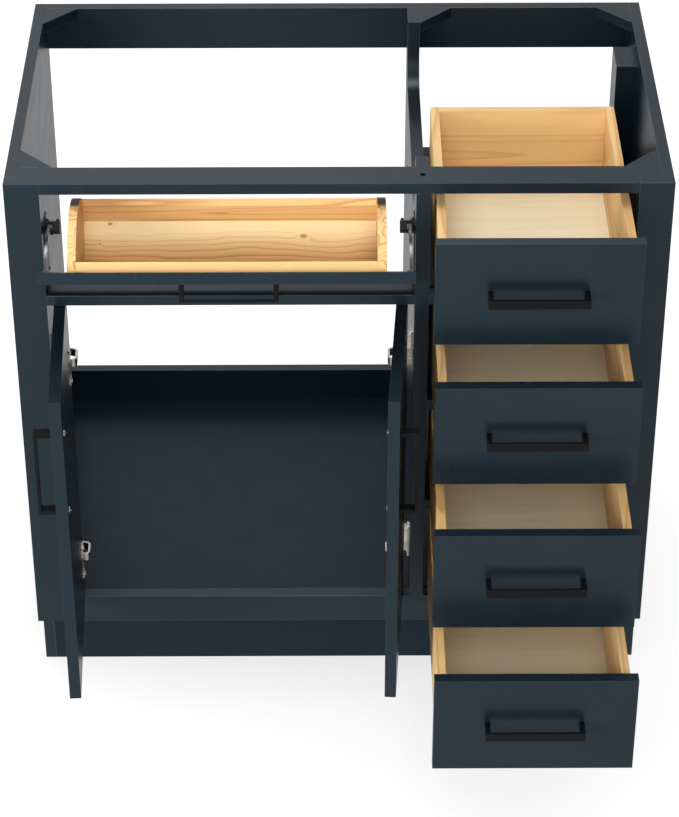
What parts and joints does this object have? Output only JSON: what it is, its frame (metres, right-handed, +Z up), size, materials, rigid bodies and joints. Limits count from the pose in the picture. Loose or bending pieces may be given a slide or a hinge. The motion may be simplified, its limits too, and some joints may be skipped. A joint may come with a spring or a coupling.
{
  "type": "bathroom vanity cabinet",
  "caption": "Freestanding basin base cabinet with a tip-out tray over a two-door cupboard and a bank of inset drawers, all on working hinges and runners.",
  "frame": {"origin": "middle of the cabinet's width, at floor level, in the plane of the wall behind it", "axes": "+X to the right as seen from the front, +Y into the wall, +Z up"},
  "size_m": [0.9, 0.927, 0.878],
  "materials": {
    "painted_frame": "satin paint, slate navy",
    "painted_fronts": "satin paint, slate navy",
    "birch_ply": "clear lacquer",
    "pine": "bare, sanded",
    "black_metal": "matt black powder coat",
    "hinge_steel": "nickel plated",
    "runner_steel": "zinc plated",
    "stay_steel": "zinc plated strip",
    "guide_plastic": "black moulded nylon"
  },
  "bodies": {
    "cabinet": {"left_side_panel": "painted_frame", "right_side_panel": "painted_frame", "left_stile": "painted_frame", "right_stile": "painted_frame", "middle_stile": "painted_frame", "top_front_rail": "painted_frame", "middle_rail": "painted_frame", "drawer_rails": "painted_frame", "bottom_front_rail": "painted_frame", "toe_kick_board": "painted_frame", "bottom_shelf": "painted_frame", "divider_panel": "painted_frame", "back_top_rail": "painted_frame", "back_bottom_rail": "painted_frame", "packing_strips": "painted_frame", "corner_blocks": "painted_frame", "cabinet_runners": "runner_steel", "hinge_arms": "hinge_steel", "tipout_stay_guides": "guide_plastic", "tipout_pivot_pins": "stay_steel"},
    "tipout": {"tipout_front": "painted_fronts", "tipout_handle": "black_metal", "tipout_tray_walls": "pine", "tipout_tray_floor": "pine", "tipout_tray_ends": "pine", "tipout_stays": "stay_steel"},
    "left_door_leaf": {"left_door": "painted_fronts", "left_door_handle": "black_metal", "left_door_hinge_cups": "hinge_steel"},
    "right_door_leaf": {"right_door": "painted_fronts", "right_door_handle": "black_metal", "right_door_hinge_cups": "hinge_steel"},
    "drawer_1": {"drawer_1_front": "painted_fronts", "drawer_1_handle": "black_metal", "drawer_1_sides": "pine", "drawer_1_ends": "pine", "drawer_1_bottom": "birch_ply", "drawer_1_runners": "runner_steel"},
    "drawer_1_middle": {"drawer_1_middle_runners": "runner_steel"},
    "drawer_2": {"drawer_2_front": "painted_fronts", "drawer_2_handle": "black_metal", "drawer_2_sides": "pine", "drawer_2_ends": "pine", "drawer_2_bottom": "birch_ply", "drawer_2_runners": "runner_steel"},
    "drawer_2_middle": {"drawer_2_middle_runners": "runner_steel"},
    "drawer_3": {"drawer_3_front": "painted_fronts", "drawer_3_handle": "black_metal", "drawer_3_sides": "pine", "drawer_3_ends": "pine", "drawer_3_bottom": "birch_ply", "drawer_3_runners": "runner_steel"},
    "drawer_3_middle": {"drawer_3_middle_runners": "runner_steel"},
    "drawer_4": {"drawer_4_front": "painted_fronts", "drawer_4_handle": "black_metal", "drawer_4_sides": "pine", "drawer_4_ends": "pine", "drawer_4_bottom": "birch_ply", "drawer_4_runners": "runner_steel"},
    "drawer_4_middle": {"drawer_4_middle_runners": "runner_steel"}
  },
  "joints": [
    {"name": "tipout_tilt", "type": "hinge", "parent": "cabinet", "child": "tipout", "pos_m": [0, -0.517, 0.7247], "axis": [1, 0, 0], "range_deg": [-57.8, 0]},
    {"name": "left_door_swing", "type": "hinge", "parent": "cabinet", "child": "left_door_leaf", "pos_m": [-0.387, -0.5185, 0.412], "axis": [0, 0, 1], "range_deg": [-2.6, 87.4]},
    {"name": "right_door_swing", "type": "hinge", "parent": "cabinet", "child": "right_door_leaf", "pos_m": [0.088, -0.5185, 0.412], "axis": [0, 0, 1], "range_deg": [-86.2, 3.8]},
    {"name": "drawer_1_slide", "type": "slide", "parent": "cabinet", "child": "drawer_1", "axis": [0, -1, 0], "range_m": [-0.125, 0.255]},
    {"name": "drawer_1_middle_slide", "type": "slide", "parent": "cabinet", "child": "drawer_1_middle", "axis": [0, -1, 0], "range_m": [-0.0625, 0.1275]},
    {"name": "drawer_2_slide", "type": "slide", "parent": "cabinet", "child": "drawer_2", "axis": [0, -1, 0], "range_m": [-0.199, 0.181]},
    {"name": "drawer_2_middle_slide", "type": "slide", "parent": "cabinet", "child": "drawer_2_middle", "axis": [0, -1, 0], "range_m": [-0.0995, 0.0905]},
    {"name": "drawer_3_slide", "type": "slide", "parent": "cabinet", "child": "drawer_3", "axis": [0, -1, 0], "range_m": [-0.288, 0.092]},
    {"name": "drawer_3_middle_slide", "type": "slide", "parent": "cabinet", "child": "drawer_3_middle", "axis": [0, -1, 0], "range_m": [-0.144, 0.046]},
    {"name": "drawer_4_slide", "type": "slide", "parent": "cabinet", "child": "drawer_4", "axis": [0, -1, 0], "range_m": [-0.377, 0.003]},
    {"name": "drawer_4_middle_slide", "type": "slide", "parent": "cabinet", "child": "drawer_4_middle", "axis": [0, -1, 0], "range_m": [-0.1885, 0.0015]}
  ],
  "couplings": [
    {"joint": "drawer_1_middle_slide", "follows": "drawer_1_slide", "ratio": 0.5},
    {"joint": "drawer_2_middle_slide", "follows": "drawer_2_slide", "ratio": 0.5},
    {"joint": "drawer_3_middle_slide", "follows": "drawer_3_slide", "ratio": 0.5},
    {"joint": "drawer_4_middle_slide", "follows": "drawer_4_slide", "ratio": 0.5}
  ]
}
